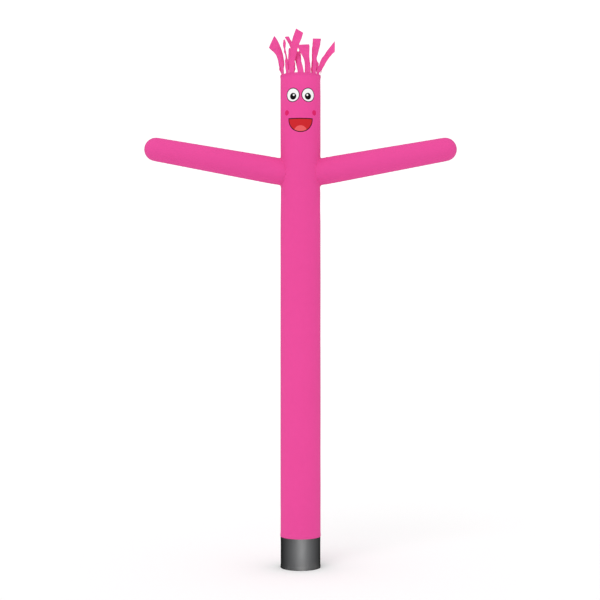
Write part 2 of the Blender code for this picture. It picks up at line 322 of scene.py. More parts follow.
def black_coated_cloth():
    """Close weave under a matt black coating, scuffed on its folds and dusty near the ground."""
    made = bpy.data.materials.new("black_coated_cloth")
    start = start_of(made)
    place = start.node("TexCoord").out("Object")
    height = start.node("SeparateXYZ", {}, {0: place}).out("Z")
    cut = start.node("SeparateXYZ", {}, {0: start.node("UVMap", {"uv_map": "cut"})})
    blotch = noise_over(start, place, 9, 3, (1, 1, 0.5))
    speck = noise_over(start, place, 160, 3)
    dust = blend_over(start, height, 0.11, 0.0) * blend_over(start, blotch, 0.35, 0.75)
    scuff = blend_over(start, height, 0.006, 0.0) * blend_over(start, speck, 0.35, 0.6)
    base = colours(start, dust * 0.2, COATING, DUST)
    base = colours(start, scuff * 0.3, base, SCUFFED)
    rough = blotch * 0.10 + dust * 0.10 + speck * 0.05 + 0.54
    weave = woven(cut, cut.out("Y"), COLLAR_WEAVE)
    crease = noise_over(start, place, 26, 4, (1, 1, 0.35))
    bump = start.node(
        "Bump", {}, {"Strength": 0.55, "Distance": 0.0006, "Height": weave * 0.2 + crease * 3}
    )
    shader = start.node(
        "BsdfPrincipled",
        {},
        {
            "Base Color": base,
            "Roughness": rough,
            "Normal": bump,
            "Specular IOR Level": 0.14,
        },
    )
    start.node("OutputMaterial", {}, {"Surface": shader})
    return made


round_it = math.tau * COLLAR_RADIUS
collar_across = panel_places(
    round_it,
    (0, 0.003, COLLAR_SEAM / 2 - SEAM_EDGE_IN, COLLAR_SEAM / 2, 0.011),
    COLLAR_PITCH,
)
collar_rows = turned_hem(0.0, COLLAR_HEM, COLLAR_HEM_IN, COLLAR_HEM_OUT)
collar_rows += [(COLLAR_HEM + 0.003, 0.0)]
collar_rows += [(z, 0.0) for z in np.arange(COLLAR_HEM + 0.010, COLLAR_TOP, COLLAR_PITCH)]
collar_rows += [(COLLAR_TOP, 0.0)]
collar_sleeve, column, row = flat_cloth(
    "collar_sleeve", collar_across, lengths(collar_rows)
)
height, out = np.array(collar_rows)[row].T
across = collar_across[column]
angle = across / COLLAR_RADIUS - math.pi
off_seam = np.minimum(across, round_it - across)
lapped = raised_seam(COLLAR_SEAM, off_seam) * (height < COLLAR_SHOWS - 0.003)
slack = smooth(COLLAR_SHOWS - 0.008, 0.25, height) * smooth(0.0, 0.05, height)
radius = COLLAR_RADIUS + out + COLLAR_SEAM_RAISED * lapped
radius -= slack * COLLAR_SLACK * (1 + puckers(across, round_it, 0.30, 3))
radius -= drawn_in(COLLAR_SHOWS - height, across, round_it, COLLAR_LAP_PUCKERS)
radius -= drawn_in(height - COLLAR_HEM, across, round_it, COLLAR_HEM_PUCKERS)
blow_up(collar_sleeve, on_tube(radius, angle, height))
collar_sleeve.data.materials.append(black_coated_cloth())
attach(collar_sleeve, "root")
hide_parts("base_collar")

# A narrow strip light, close to the front of the collar and on it alone. It brings the dull shine
# out of the black and leaves the sides dark.
LAMP_PLACE = (0.07, -0.9, 0.21)
LAMP_TURN = (math.radians(90), 0, math.radians(4.4))
LAMP_WIDE = 0.2
LAMP_HIGH = 0.4
LAMP_POWER = 44

bpy.ops.object.light_add(type="AREA", location=LAMP_PLACE, rotation=LAMP_TURN)
collar_lamp = bpy.context.object
collar_lamp.name = "collar_lamp"
collar_lamp.data.shape = "RECTANGLE"
collar_lamp.data.size = LAMP_WIDE
collar_lamp.data.size_y = LAMP_HIGH
collar_lamp.data.energy = LAMP_POWER
collar_lamp.visible_camera = False
lit = bpy.data.collections.new("lit_by_collar_lamp")
lit.objects.link(collar_sleeve)
collar_lamp.light_linking.receiver_collection = lit


# ---- Stitches ----------------------------------------------------------------------------------
# Rows of lock stitch, about five to the inch. One stitch is a small slanted bead of thread, half
# sunk in the cloth, and each row repeats it along its seam.

STITCH_PITCH = 0.005
STITCH_LONG = 0.0037
STITCH_THICK = 0.0011
STITCH_SLANT = 0.12  # sideways, for its length
STITCH_RAISED = 0.0001
COLLAR_STITCHES = (0.005, 0.026)  # rows below the upper edge of the collar's hem
BLACK_THREAD = (0.035, 0.035, 0.038)


def thread(name, colour):
    """Twisted polyester thread."""
    made = bpy.data.materials.new(name)
    start = start_of(made)
    place = start.node("TexCoord").out("Object")
    tint = noise_over(start, place, 90, 2)
    dark = tuple(c * 0.72 for c in colour)
    twist = noise_over(start, place, 1400, 1)
    bump = start.node("Bump", {}, {"Strength": 0.5, "Distance": 0.0002, "Height": twist})
    shader = start.node(
        "BsdfPrincipled",
        {},
        {
            "Base Color": colours(start, tint, (*dark, 1), (*colour, 1)),
            "Roughness": twist * 0.2 + 0.35,
            "Normal": bump,
            "Sheen Weight": 0.2,
        },
    )
    start.node("OutputMaterial", {}, {"Surface": shader})
    return made


bpy.ops.object.select_all(action="DESELECT")
bpy.ops.mesh.primitive_uv_sphere_add(segments=6, ring_count=4, radius=0.5)
one_stitch = bpy.context.object
bpy.ops.object.mode_set(mode="EDIT")
bpy.ops.transform.rotate(value=math.pi / 2, orient_axis="Y", center_override=(0, 0, 0))
bpy.ops.transform.resize(
    value=(STITCH_LONG, STITCH_THICK, STITCH_THICK * 0.8), center_override=(0, 0, 0)
)
bpy.ops.object.mode_set(mode="OBJECT")
stitch_points = points_of(one_stitch.data)
stitch_faces = [tuple(face.vertices) for face in one_stitch.data.polygons]
bpy.data.objects.remove(one_stitch)


def along_path(path, normals, pitch, closed):
    """Places at even distances along a path, with its direction and its normal there."""
    if closed:
        path, normals = np.vstack((path, path[:1])), np.vstack((normals, normals[:1]))
    far = np.concatenate(([0], np.cumsum(np.linalg.norm(np.diff(path, axis=0), axis=1))))
    count = max(2, round(far[-1] / pitch))
    at = (np.arange(count) + 0.5) * far[-1] / count
    spots = np.stack([np.interp(at, far, path[:, i]) for i in range(3)], axis=1)
    ahead = np.stack([np.interp(at + 0.001, far, path[:, i]) for i in range(3)], axis=1)
    back = np.stack([np.interp(at - 0.001, far, path[:, i]) for i in range(3)], axis=1)
    way = ahead - back
    way /= np.linalg.norm(way, axis=1)[:, None]
    up = np.stack([np.interp(at, far, normals[:, i]) for i in range(3)], axis=1)
    up -= way * np.sum(up * way, axis=1)[:, None]
    up /= np.linalg.norm(up, axis=1)[:, None]
    return spots, way, up


def stitched(name, rows, finish):
    """One piece from rows of stitches. A row is a path, its normals, and whether it is closed."""
    points, faces = [], []
    for path, normals, closed in rows:
        for spot, way, up in zip(*along_path(path, normals, STITCH_PITCH, closed)):
            slanted = way + np.cross(up, way) * STITCH_SLANT
            slanted /= np.linalg.norm(slanted)
            axes = np.array((slanted, np.cross(up, slanted), up))
            first = len(points)
            points += list(spot + up * STITCH_RAISED + stitch_points @ axes)
            faces += [tuple(first + i for i in face) for face in stitch_faces]
    mesh = bpy.data.meshes.new(name)
    mesh.from_pydata(points, [], faces)
    made = bpy.data.objects.new(name, mesh)
    bpy.context.scene.collection.objects.link(made)
    mesh.shade_smooth()
    mesh.materials.append(finish)
    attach(made, "root")
    return made


def ring_path(radius, height, count=360):
    """A ring round the tube at one height, with its normals."""
    angle = np.linspace(-math.pi, math.pi, count, endpoint=False)
    level = np.full(count, height)
    return on_tube(radius, angle, level), on_tube(1.0, angle, level * 0)


collar_stitches = stitched(
    "collar_stitches",
    [
        (*ring_path(COLLAR_RADIUS + COLLAR_HEM_OUT, COLLAR_HEM - below), True)
        for below in COLLAR_STITCHES
    ],
    thread("black_thread", BLACK_THREAD),
)


# ---- Body sleeve -------------------------------------------------------------------------------
# The body and head in one length of rip-stop nylon, from the lap over the collar to the open rim.
# One panel with a flat-felled seam up the back, a turned hem at each end, and a hole for each arm.

RIM_HEIGHT = 5.575
TOP_HEM = 0.026
HEM_OUT = 0.0010
BACK_SEAM = 0.014
BACK_SEAM_RAISED = 0.0008
BACK_SEAM_LONG = 5.4  # whole waves are counted along it
SEAM_SMOOTH = 0.035  # folds of the tube die out this near a shoulder's seam
ARM_SLOPE = math.radians(10.2)
SHOULDER_HEIGHT = 4.485
SHOULDER_RADIUS = 0.1545
# Puckers, as the collar's. Those of a shoulder are drawn alike on the body and on the arm.
FOOT_PUCKERS = (0.0016, 0.022, 0.055, 11)
RIM_PUCKERS = (0.0013, 0.020, 0.050, 12)
BACK_PUCKERS = (0.0009, 0.020, 0.10, 13)
SHOULDER_DRAW = {"left": 16, "right": 17}
# Soft troughs: where the middle is, half its run, half its width, its lean from upright, its depth
TUBE_FOLDS = (
    # below and above the left shoulder
    (-62, 4.21, 0.20, 0.038, -34, 0.0065),
    (-86, 4.14, 0.17, 0.034, -6, 0.0050),
    (-121, 4.23, 0.18, 0.040, 31, 0.0060),
    (-58, 4.71, 0.12, 0.034, 38, 0.0045),
    (-116, 4.74, 0.15, 0.038, -30, 0.0055),
    # below and above the right shoulder
    (64, 4.19, 0.21, 0.036, 30, 0.0060),
    (91, 4.12, 0.15, 0.036, 4, 0.0050),
    (117, 4.22, 0.17, 0.038, -35, 0.0065),
    (60, 4.73, 0.13, 0.036, -36, 0.0045),
    (120, 4.72, 0.14, 0.036, 33, 0.0050),
    # gathered above the collar
    (-22, 0.47, 0.11, 0.034, 5, 0.0045),
    (35, 0.50, 0.14, 0.036, -4, 0.0050),
    (98, 0.46, 0.10, 0.034, 3, 0.0040),
    (158, 0.49, 0.12, 0.038, -6, 0.0045),
    (-97, 0.51, 0.13, 0.036, 4, 0.0050),
    # gathered below the rim, at the sides and the back of the head
    (-78, 5.49, 0.07, 0.034, 4, 0.0040),
    (84, 5.48, 0.08, 0.034, -5, 0.0040),
    (148, 5.47, 0.09, 0.036, 6, 0.0045),
    (-146, 5.48, 0.08, 0.036, -3, 0.0045),
)


def trough(along, across, fold):
    """Depth of one fold at places along and across its middle."""
    run, width, lean, depth = fold
    lean = math.radians(lean)
    down_it = along * math.cos(lean) + across * math.sin(lean)
    off_it = across * math.cos(lean) - along * math.sin(lean)
    return depth * np.exp(-((down_it / run) ** 2) - (off_it / width) ** 2)


def turned_from(angle, degrees):
    """The shorter way round from an angle in degrees to ones in radians."""
    return np.remainder(angle - math.radians(degrees) + math.pi, math.tau) - math.pi


def arm_axes(side):
    """Where the arm's axis meets the tube, its direction outwards, and its own upper side."""
    sign = -1 if side == "left" else 1
    start = np.array((sign * TUBE_RADIUS, 0, SHOULDER_HEIGHT))
    out = np.array((sign * math.cos(ARM_SLOPE), 0, math.sin(ARM_SLOPE)))
    up = np.array((-sign * math.sin(ARM_SLOPE), 0, math.cos(ARM_SLOPE)))
    return start, out, up


FRONT = np.array((0.0, -1.0, 0.0))


def about_arm(side, points):
    """Where points are along an arm's axis, round it from its upper side, and off it."""
    start, out, up = arm_axes(side)
    offset = points - start
    high, forward = offset @ up, offset @ FRONT
    return offset @ out, np.arctan2(forward, high), np.hypot(high, forward)


def tube_radius(angle, height):
    """Outer radius of the sleeve between its hems, with its folds and puckers."""
    round_it = math.tau * TUBE_RADIUS
    across = (angle + math.pi) * TUBE_RADIUS
    low, high = COLLAR_SHOWS + LAP, RIM_HEIGHT - TOP_HEM
    sunk = 0
    for around, at, *fold in TUBE_FOLDS:
        sunk = sunk + trough(height - at, TUBE_RADIUS * turned_from(angle, around), fold)
    sunk = sunk * smooth(0, 0.05, height - low) * smooth(0.004, 0.035, high - height)
    # short puckers off both hems, and off the seam up the back
    sunk += drawn_in(height - low, across, round_it, FOOT_PUCKERS)
    sunk += drawn_in(high - height, across, round_it, RIM_PUCKERS)
    off_back = TUBE_RADIUS * np.abs(turned_from(angle, 180)) - BACK_SEAM / 2
    sunk += drawn_in(off_back, height, BACK_SEAM_LONG, BACK_PUCKERS)
    # long shallow waves of cloth that the air doesn't pull quite flat
    sway = height + 0.05 * np.sin(angle)
    calm = smooth(0.0, 0.3, height - low) * smooth(0.0, 0.3, high - height)
    wave = puckers(across, round_it, 0.36, 14) * puckers(sway, BACK_SEAM_LONG, 1.1, 15)
    sunk += 0.0012 * calm * (1 + wave)
    for side in ("left", "right"):
        place = on_tube(TUBE_RADIUS, angle, height)
        along, around, off = about_arm(side, place)
        near = np.where(along > -TUBE_RADIUS, off - SHOULDER_RADIUS, 1.0)
        sunk = sunk * smooth(0, SEAM_SMOOTH, near)
        sunk += drawn_in(near, around, math.tau, (0.0026, 0.020, 0.30, SHOULDER_DRAW[side]))
    return TUBE_RADIUS - sunk


NYLON_WEAVE = 0.0011  # two threads
RIP_STOP = 0.0055  # between the thicker threads
RIP_STOP_WIDE = 0.0006
PINK = (0.900, 0.083, 0.375, 1)
PINK_DEEP = (0.860, 0.075, 0.348, 1)
PINK_DARK = (0.55, 0.035, 0.20, 1)
# a paler copy of the same pink, laid over the streamers as painted light
PINK_PAINTED_LIGHT = (1.0, 0.128, 0.465, 1)
PINK_THROUGH = (1.0, 0.20, 0.58, 1)  # of the light that comes through
PINK_SHEEN = (1.0, 0.55, 0.78, 1)


def nylon_cloth(name, through, printed=None, painted_light_share=0.0):
    """Rip-stop nylon: a fine close weave with a thicker thread every few millimetres, which light
    partly comes through. A share of paler pink can be laid over the whole cloth as painted light."""
    made = bpy.data.materials.new(name)
    start = start_of(made)
    place = start.node("TexCoord").out("Object")
    cut = start.node("SeparateXYZ", {}, {0: start.node("UVMap", {"uv_map": "cut"})})
    across, along = cut, cut.out("Y")
    grid = woven_lines(start, across, RIP_STOP, RIP_STOP_WIDE).maths(
        "MAXIMUM", woven_lines(start, along, RIP_STOP, RIP_STOP_WIDE)
    )
    weave = woven(across, along, NYLON_WEAVE)
    blotch = noise_over(start, place, 2.2, 3)
    cloud = noise_over(start, place, 14, 4)
    base = colours(start, blotch, PINK_DEEP, PINK)
    # painted light: paler pink over the whole cloth where asked, standing in for the light the
    # strips lose to their own shade
    base = colours(start, painted_light_share, base, PINK_PAINTED_LIGHT)
    base = colours(start, grid * 0.10 + cloud * 0.10, base, PINK_DARK)
    rough = cloud * 0.12 + grid * 0.05 + 0.54
    crinkle = noise_over(start, place, 7.0, 5, (1, 1, 0.5))
    small = noise_over(start, place, 42, 4)
    height = crinkle * 9 + small * 1.6 + grid * 0.22 + weave * 0.05
    if printed:
        ink, base = printed(start, across, along, base)
        rough = rough - ink * 0.08
        height = height - ink * 0.1
        through = (1 - ink) * through
    bump = start.node("Bump", {}, {"Strength": 0.6, "Distance": 0.0006, "Height": height})
    shader = start.node(
        "BsdfPrincipled",
        {},
        {
            "Base Color": base,
            "Roughness": rough,
            "Normal": bump,
            "Specular IOR Level": 0.12,
            "Sheen Weight": 0.03,
            "Sheen Roughness": 0.4,
            "Sheen Tint": PINK_SHEEN,
        },
    )
    light = start.node("BsdfTranslucent", {}, {"Color": PINK_THROUGH, "Normal": bump})
    both = start.node("MixShader", {}, {0: through, 1: shader, 2: light})
    start.node("OutputMaterial", {}, {"Surface": both})
    return made


INK_BLACK = (0.006, 0.005, 0.006, 1)
INK_WHITE = (0.90, 0.90, 0.90, 1)
INK_CHEEK = (0.72, 0.012, 0.14, 1)
INK_MOUTH = (0.60, 0.016, 0.022, 1)
INK_TONGUE = (0.80, 0.105, 0.115, 1)
MOUTH_LINE = 0.010
PRINT_EDGE = 0.0007  # over which an edge goes from one ink to the next
HEM_FOLD = 0.0012  # of the cloth's length, taken up by the hem's fold


def printed_face(start, across, along, base):
    """The face, printed flat on the front of the head: two round eyes, round cheeks and a mouth
    like half a moon. Each is a disc at a place across from the middle of the front and above the
    floor."""
    middle = math.pi * TUBE_RADIUS
    floor_up = along + (COLLAR_SHOWS - LAP - HEM_FOLD)
    aside = abs(across - middle)

    def disc(x, z, size):
        """How far inside a round shape's edge a place is."""
        apart = aside - x
        above = floor_up - z
        return size - (apart * apart + above * above).maths("SQRT")

    below_lip = 5.066 - floor_up
    mouth = disc(0, 5.054, 0.146).maths("MINIMUM", below_lip)
    prints = (
        (INK_CHEEK, disc(0.170, 5.130, 0.030)),
        (INK_BLACK, disc(0.090, 5.325, 0.080)),
        (INK_WHITE, disc(0.090, 5.325, 0.071)),
        (INK_BLACK, disc(0.086, 5.310, 0.038)),
        (INK_WHITE, disc(0.078, 5.324, 0.011)),
        (INK_BLACK, mouth),
        (INK_MOUTH, mouth - MOUTH_LINE),
        (INK_TONGUE, (mouth - MOUTH_LINE).maths("MINIMUM", disc(0, 4.905, 0.078))),
    )
    ink = 0
    for colour, depth in prints:
        mask = blend_over(start, depth, -PRINT_EDGE, PRINT_EDGE)
        base = colours(start, mask, base, colour)
        ink = mask.maths("MAXIMUM", ink)
    return ink, base


BODY_PITCH = 0.0076  # between the columns of its mesh
# Rows of its mesh between the hems: from, to, and about how far apart. They are closer where there
# are folds, puckers or the print.
BODY_ROWS = (
    (COLLAR_SHOWS + LAP + 0.009, 0.70, 0.0080),
    (0.71, 3.95, 0.0185),
    (3.96, 4.95, 0.0078),
    (4.962, 5.40, 0.0125),
    (5.409, 5.542, 0.0070),
)
body_across = panel_places(
    math.tau * TUBE_RADIUS,
    (0, 0.0035, BACK_SEAM / 2 - SEAM_EDGE_IN, BACK_SEAM / 2, BACK_SEAM / 2 + 0.005),
    BODY_PITCH,
)
body_rows = turned_hem(COLLAR_SHOWS, COLLAR_SHOWS + LAP, -HEM_OUT, HEM_OUT)
body_rows += [(COLLAR_SHOWS + LAP + 0.003, 0.0)]
for low, high, step in BODY_ROWS:
    body_rows += [(z, 0.0) for z in np.linspace(low, high, round((high - low) / step))]
body_rows += [(RIM_HEIGHT - TOP_HEM - 0.003, 0.0)]
body_rows += turned_hem(RIM_HEIGHT, RIM_HEIGHT - TOP_HEM, -HEM_OUT, HEM_OUT)[::-1]
body_sleeve, column, row = flat_cloth("body_sleeve", body_across, lengths(body_rows))
height, out = np.array(body_rows)[row].T
across = body_across[column]
angle = across / TUBE_RADIUS - math.pi
off_back = np.minimum(across, math.tau * TUBE_RADIUS - across)
felled = raised_seam(BACK_SEAM, off_back) * (out == 0)
radius = tube_radius(angle, height) + out + BACK_SEAM_RAISED * felled
points = on_tube(radius, angle, height)


# ---- Arms --------------------------------------------------------------------------------------
# Two sleeves that taper a little to round, closed hands. Each has a front and a back panel, sewn
# along its upper side, round the fingertip and along its lower side, and is sewn to the body round
# its hole. The cloth puckers along every seam, most of all round the hand.

ARM_REACH = 1.773
WRIST_RADIUS = 0.1342
HAND_FLATTENED = 0.12
STRAIGHT = (ARM_REACH - TUBE_RADIUS) / math.cos(ARM_SLOPE) - WRIST_RADIUS
ARM_GIRTH = math.tau * 0.145  # of its flat cut, between those of the shoulder and the wrist
ARM_CLOTH = 0.0005
ARM_PITCH = 0.0068  # between the columns of its mesh
ARM_ROWS = 158  # rows of its mesh up to the hand, closest at both ends
HAND_ROWS = 42
ARM_DRAW = {"left": 20, "right": 30}
# Soft troughs: along from the shoulder, round from the upper side towards the front, half the run,
# half the width, the lean, the depth
ARM_FOLDS = (
    (0.13, -18, 0.14, 0.036, -15, 0.0055),
    (0.14, 84, 0.13, 0.038, 20, 0.0055),
    (0.12, 160, 0.15, 0.036, -18, 0.0060),
    (1.37, 70, 0.11, 0.032, -8, 0.0045),
    (1.40, -38, 0.09, 0.034, 9, 0.0045),
    (1.39, -125, 0.10, 0.032, -7, 0.0045),
)


def arm_point(side, along, around):
    """Points of an arm's cloth before its seams pull it in. The hand is round seen from the front
    and a little flat seen from above."""
    start, out, up = arm_axes(side)
    radius = SHOULDER_RADIUS + (WRIST_RADIUS - SHOULDER_RADIUS) * np.minimum(along / STRAIGHT, 1)
    share = np.clip((along - STRAIGHT) / WRIST_RADIUS, 0, 1)
    radius = radius * np.sqrt(1 - share * share)
    depth = 1 - HAND_FLATTENED * share * share
    sunk = 0
    for middle, turn, *fold in ARM_FOLDS:
        sunk = sunk + trough(along - middle, radius * turned_from(around, turn), fold)
    radius = radius - sunk * np.minimum(1, radius / WRIST_RADIUS)
    spoke = up * np.cos(around)[:, None] + FRONT * (np.sin(around) * depth)[:, None]
    return start + out * along[:, None] + spoke * radius[:, None]


def shoulder_edge(side, around):
    """How far along the arm its cloth meets the tube, at angles round it."""
    along = np.zeros_like(around)
    for _ in range(14):
        point = arm_point(side, along, around)
        angle = np.arctan2(point[:, 0], -point[:, 1])
        short = TUBE_RADIUS - np.hypot(point[:, 0], point[:, 1])
        along = along + short / np.maximum(np.abs(np.sin(angle)), 0.5)
    return along


def seam_path(side, count=240):
    """The closed seam round a shoulder, with its normals away from both cloths."""
    around = np.linspace(0, math.tau, count, endpoint=False)
    path = arm_point(side, shoulder_edge(side, around), around)
    start, out, up = arm_axes(side)
    spoke = up * np.cos(around)[:, None] + FRONT * np.sin(around)[:, None]
    outwards = path * (1, 1, 0)
    outwards /= np.linalg.norm(outwards, axis=1)[:, None]
    normals = spoke + outwards
    return path, normals / np.linalg.norm(normals, axis=1)[:, None]


# The body's holes: its points inside a shoulder's seam go to the seam, and cloth that is wholly
# inside is cut away.
hole = np.zeros(len(points), bool)
for side in ("left", "right"):
    along, around, off = about_arm(side, points)
    on_seam = arm_point(side, shoulder_edge(side, around), around)
    here = (along > -TUBE_RADIUS * 0.9) & (off < about_arm(side, on_seam)[2])
    points[here] = on_seam[here]
    hole |= here
inside = hole[[list(face.vertices) for face in body_sleeve.data.polygons]].all(axis=1)
bpy.ops.object.mode_set(mode="EDIT")
bpy.ops.mesh.select_all(action="DESELECT")
bpy.ops.object.mode_set(mode="OBJECT")
body_sleeve.data.vertices.foreach_set("co", points.ravel())
body_sleeve.data.polygons.foreach_set("select", inside)
bpy.ops.object.mode_set(mode="EDIT")
bpy.ops.mesh.select_mode(type="FACE")
bpy.ops.mesh.delete(type="FACE")
bpy.ops.mesh.select_mode(type="VERT")
bpy.ops.object.mode_set(mode="OBJECT")
blow_up(body_sleeve, points_of(body_sleeve.data))
body_sleeve.data.materials.append(nylon_cloth("pink_nylon_body", 0.10, printed_face))
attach(body_sleeve, "root")
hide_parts("body_tube")
arm_nylon = nylon_cloth("pink_nylon_arms", 0.10)


def arm_sleeve(side):
    """One arm from its flat cut: a panel in front and one behind, with the seams between them."""
    half = ARM_GIRTH / 2
    beside = (0, 0.0022, 0.005, 0.009, 0.015)
    panel = panel_places(half, beside, ARM_PITCH)
    places = np.concatenate((panel, half + panel[1:]))
    shares = np.linspace(0, 1, ARM_ROWS)
    shares = shares - 0.35 * np.sin(math.tau * shares) / math.tau
    turns = np.linspace(0, math.pi / 2, HAND_ROWS)[1:]
    rows = np.concatenate((shares * STRAIGHT, STRAIGHT + turns * WRIST_RADIUS))
    sleeve, column, row = flat_cloth("arm_sleeve_" + side, places, rows)
    around = places[column] / half * math.pi + math.pi
    edge = shoulder_edge(side, around)
    share = np.concatenate((shares, 1 + turns))[row]
    straight = share <= 1
    along = np.where(
        straight,
        edge + (STRAIGHT - edge) * share,
        STRAIGHT + WRIST_RADIUS * np.sin(np.clip(share - 1, 0, math.pi / 2)),
    )
    points = arm_point(side, along, around)
    # towards the axis, or in the hand towards its middle
    start, out, up = arm_axes(side)
    offset = points - start
    on_axis = start + out * np.clip(offset @ out, 0, STRAIGHT)[:, None]
    inwards = on_axis - points
    inwards /= np.maximum(np.linalg.norm(inwards, axis=1), 1e-6)[:, None]
    # how far a point is from the plane of the seams, and where along them it is nearest
    off_seam = np.abs(points[:, 1])
    turn = math.pi / 2 - np.arctan2(offset @ up, np.maximum(offset @ out - STRAIGHT, 1e-6))
    whole = 2 * STRAIGHT + math.pi * WRIST_RADIUS
    down = np.where(offset @ up > 0, along, whole - along)
    at = np.where(straight, down, STRAIGHT + WRIST_RADIUS * turn)
    hand = smooth(STRAIGHT - 0.05, STRAIGHT + 0.05, along)
    seed = ARM_DRAW[side]
    pull = drawn_in(off_seam, at, whole, (0.0011, 0.016, 0.060, seed))
    pull += hand * drawn_in(off_seam, at, whole, (0.0032, 0.026, 0.034, seed + 1))
    pull += 0.0012 * np.exp(-((off_seam / 0.0035) ** 2))
    pull *= smooth(0.0, 0.03, along - edge)
    pull += drawn_in(along - edge, around, math.tau, (0.0024, 0.022, 0.30, SHOULDER_DRAW[side]))
    blow_up(sleeve, points + inwards * pull[:, None])
    thicken = sleeve.modifiers.new("cloth", "SOLIDIFY")
    thicken.thickness = ARM_CLOTH
    thicken.offset = -1
    bpy.ops.object.modifier_apply(modifier="cloth")
    sleeve.data.materials.append(arm_nylon)
    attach(sleeve, "root")
    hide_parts("arm_" + side)
    return sleeve


arm_sleeves = {side: arm_sleeve(side) for side in ("left", "right")}


# ---- Seams of the pink cloth -------------------------------------------------------------------
# A rolled binding closes each shoulder, and rows of pink stitches run beside every seam and hem.

BINDING_RADIUS = 0.0026
BINDING_LIFT = 0.0006  # off the middle of the seam
HEM_STITCHES = (0.006, 0.020)  # rows from a hem's fold
BACK_STITCHES = (-0.0042, 0.0042)  # rows beside the middle of the back seam
PINK_THREAD = (0.80, 0.055, 0.29)

pink_thread = thread("pink_thread", PINK_THREAD)


def folded_nylon():
    """The same nylon where it is folded several times over: deeper in colour, with no light
    through it."""
    made = bpy.data.materials.new("pink_nylon_folded")
    start = start_of(made)
    place = start.node("TexCoord").out("Object")
    cloud = noise_over(start, place, 60, 4)
    bump = start.node("Bump", {}, {"Strength": 0.6, "Distance": 0.0008, "Height": cloud})
    shader = start.node(
        "BsdfPrincipled",
        {},
        {
            "Base Color": colours(start, cloud, PINK_DEEP, PINK),
            "Roughness": cloud * 0.16 + 0.54,
            "Normal": bump,
            "Specular IOR Level": 0.12,
        },
    )
    start.node("OutputMaterial", {}, {"Surface": shader})
    return made


binding_nylon = folded_nylon()


def shoulder_binding(side):
    """A thin roll of cloth sewn round the seam of a shoulder."""
    path, normals = seam_path(side)
    curve = bpy.data.curves.new("shoulder_binding_" + side, "CURVE")
    curve.dimensions = "3D"
    curve.bevel_depth = BINDING_RADIUS
    curve.bevel_resolution = 2
    spline = curve.splines.new("POLY")
    spline.points.add(len(path) - 1)
    spline.use_cyclic_u = True
    for point, spot, normal in zip(spline.points, path, normals):
        point.co = (*(spot + normal * BINDING_LIFT), 1)
    binding = bpy.data.objects.new("shoulder_binding_" + side, curve)
    bpy.context.scene.collection.objects.link(binding)
    bpy.ops.object.select_all(action="DESELECT")
    binding.select_set(True)
    bpy.context.view_layer.objects.active = binding
    bpy.ops.object.convert(target="MESH")
    binding = bpy.context.object
    bpy.ops.object.shade_smooth()
    binding.data.materials.append(binding_nylon)
    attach(binding, "root")
    return binding


bindings = {side: shoulder_binding(side) for side in ("left", "right")}


def back_path(aside):
    """Up the back of the body, beside the middle of its seam."""
    height = np.arange(COLLAR_SHOWS + LAP + 0.006, RIM_HEIGHT - TOP_HEM - 0.004, 0.01)
    angle = np.full_like(height, math.pi + aside / TUBE_RADIUS)
    radius = tube_radius(np.full_like(height, math.pi), height) + BACK_SEAM_RAISED
    return on_tube(radius, angle, height), on_tube(1.0, angle, height * 0), False


hem_levels = [COLLAR_SHOWS + row for row in HEM_STITCHES]
hem_levels += [RIM_HEIGHT - row for row in reversed(HEM_STITCHES)]
body_stitches = stitched(
    "body_stitches",
    [(*ring_path(TUBE_RADIUS + HEM_OUT, level), True) for level in hem_levels]
    + [back_path(aside) for aside in BACK_STITCHES],
    pink_thread,
)


# ---- Streamers ---------------------------------------------------------------------------------
# Strips of the same nylon round the open top of the head, which the air blows up and about. They
# are cut from one strip, whose uncut edge is sewn inside the rim.

BAND_LOW = 0.024  # below the rim
BAND_HIGH = 0.002  # above it
BAND_RADIUS = (TUBE_RADIUS - 0.002) * math.cos(math.pi / 48) - 0.0013  # just inside the rim
BAND_ROWS = np.array((0, 0.012, 0.026))  # of its mesh, from its lower edge
BAND_SUNK = 0.0007  # behind the roots of the strips
BAND_COLUMNS = 145
STRIP_COLUMNS = 13
STRIP_ROWS = 66
STREAMER_CLOTH = 0.0006
TURNED_BY = 0.65  # share of its length in which a strip does all its turning
# Where round the rim a strip's root is, how far its tip is from there along X, Y and Z, how late it
# bends, its width at the root and the tip, where along it the widening starts, how far it turns,
# and the slant of its cut end
STREAMERS = (
    # rim, x, y, rise, bend, root, tip, flare, turn, cut
    (-155, 0.031, 0.036, 0.393, 1.41, 0.053, 0.054, 0.45, 35, 12),
    (-137, 0.056, 0.074, 0.352, 1.25, 0.041, 0.070, 0.60, -25, 3),
    (-113, -0.068, 0.032, 0.347, 2.31, 0.067, 0.085, 0.43, -77, 2),
    (-69, -0.117, -0.030, 0.363, 2.67, 0.062, 0.130, 0.52, 66, 25),
    (-42, -0.034, -0.026, 0.371, 1.79, 0.040, 0.044, 0.23, -19, -1),
    (-27, 0.094, -0.065, 0.455, 1.96, 0.063, 0.099, 0.02, 12, -8),
    (1, -0.161, 0.142, 0.423, 1.41, 0.064, 0.044, 0.51, -34, -26),
    (23, -0.059, -0.063, 0.300, 1.53, 0.061, 0.130, 0.43, -20, -13),
    (44, 0.030, -0.037, 0.381, 1.76, 0.051, 0.097, 0.36, -29, 7),
    (61, 0.191, 0.029, 0.311, 1.49, 0.065, 0.082, 0.57, -66, -49),
    (91, 0.096, 0.078, 0.243, 1.83, 0.056, 0.064, 0.40, -2, -16),
    (118, -0.036, 0.080, 0.272, 1.15, 0.068, 0.069, 0.37, -55, 21),
    (139, 0.021, 0.099, 0.370, 1.35, 0.056, 0.070, 0.57, 32, 20),
    (160, -0.003, 0.103, 0.250, 1.71, 0.056, 0.061, 0.53, 9, -4),
    (-179, -0.032, 0.044, 0.318, 1.48, 0.051, 0.085, 0.22, -23, -25),
)


